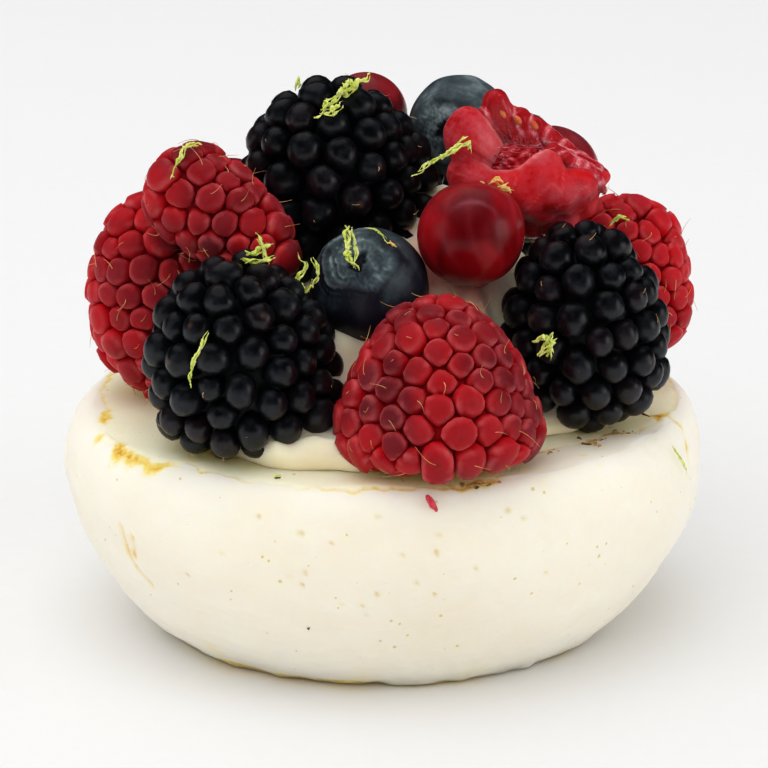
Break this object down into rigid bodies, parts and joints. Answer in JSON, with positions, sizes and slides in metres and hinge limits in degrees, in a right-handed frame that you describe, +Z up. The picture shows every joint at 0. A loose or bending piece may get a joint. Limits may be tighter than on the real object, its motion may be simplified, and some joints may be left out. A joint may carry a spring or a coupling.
{
  "type": "pavlova",
  "caption": "One-person pavlova: pale undercut meringue shell with a cream mound, heaped with raspberries, brambles, blueberries and redcurrants.",
  "frame": {"origin": "middle of the meringue's flat foot, on the table", "axes": "+Z up through the heap of fruit, -Y to the front where the largest raspberry lies, +X to the right seen from the front"},
  "size_m": [0.0705, 0.0694, 0.0596],
  "materials": {
    "meringue": "matte baked meringue, pale cream white, faint golden cracks",
    "cream": "soft whipped cream, satin",
    "raspberry": "velvety translucent red drupelets with fine hairs",
    "bramble": "satin near-black drupelets",
    "blueberry": "dark blue skin with a pale waxy bloom",
    "redcurrant": "glossy translucent deep red skin"
  },
  "bodies": {
    "root": {"meringue": "meringue", "cream": "cream", "raspberry_left": "raspberry", "raspberry_upper_left": "raspberry", "raspberry_front": "raspberry", "raspberry_right": "raspberry", "raspberry_back": "raspberry", "raspberry_torn": "raspberry", "bramble_top": "bramble", "bramble_left": "bramble", "bramble_right": "bramble", "bramble_back_right": "bramble", "bramble_back_left": "bramble", "blueberry_front": "blueberry", "blueberry_top": "blueberry", "blueberry_back": "blueberry", "redcurrant_front": "redcurrant", "redcurrant_top": "redcurrant", "redcurrant_right": "redcurrant", "redcurrant_left": "redcurrant"}
  },
  "joints": []
}
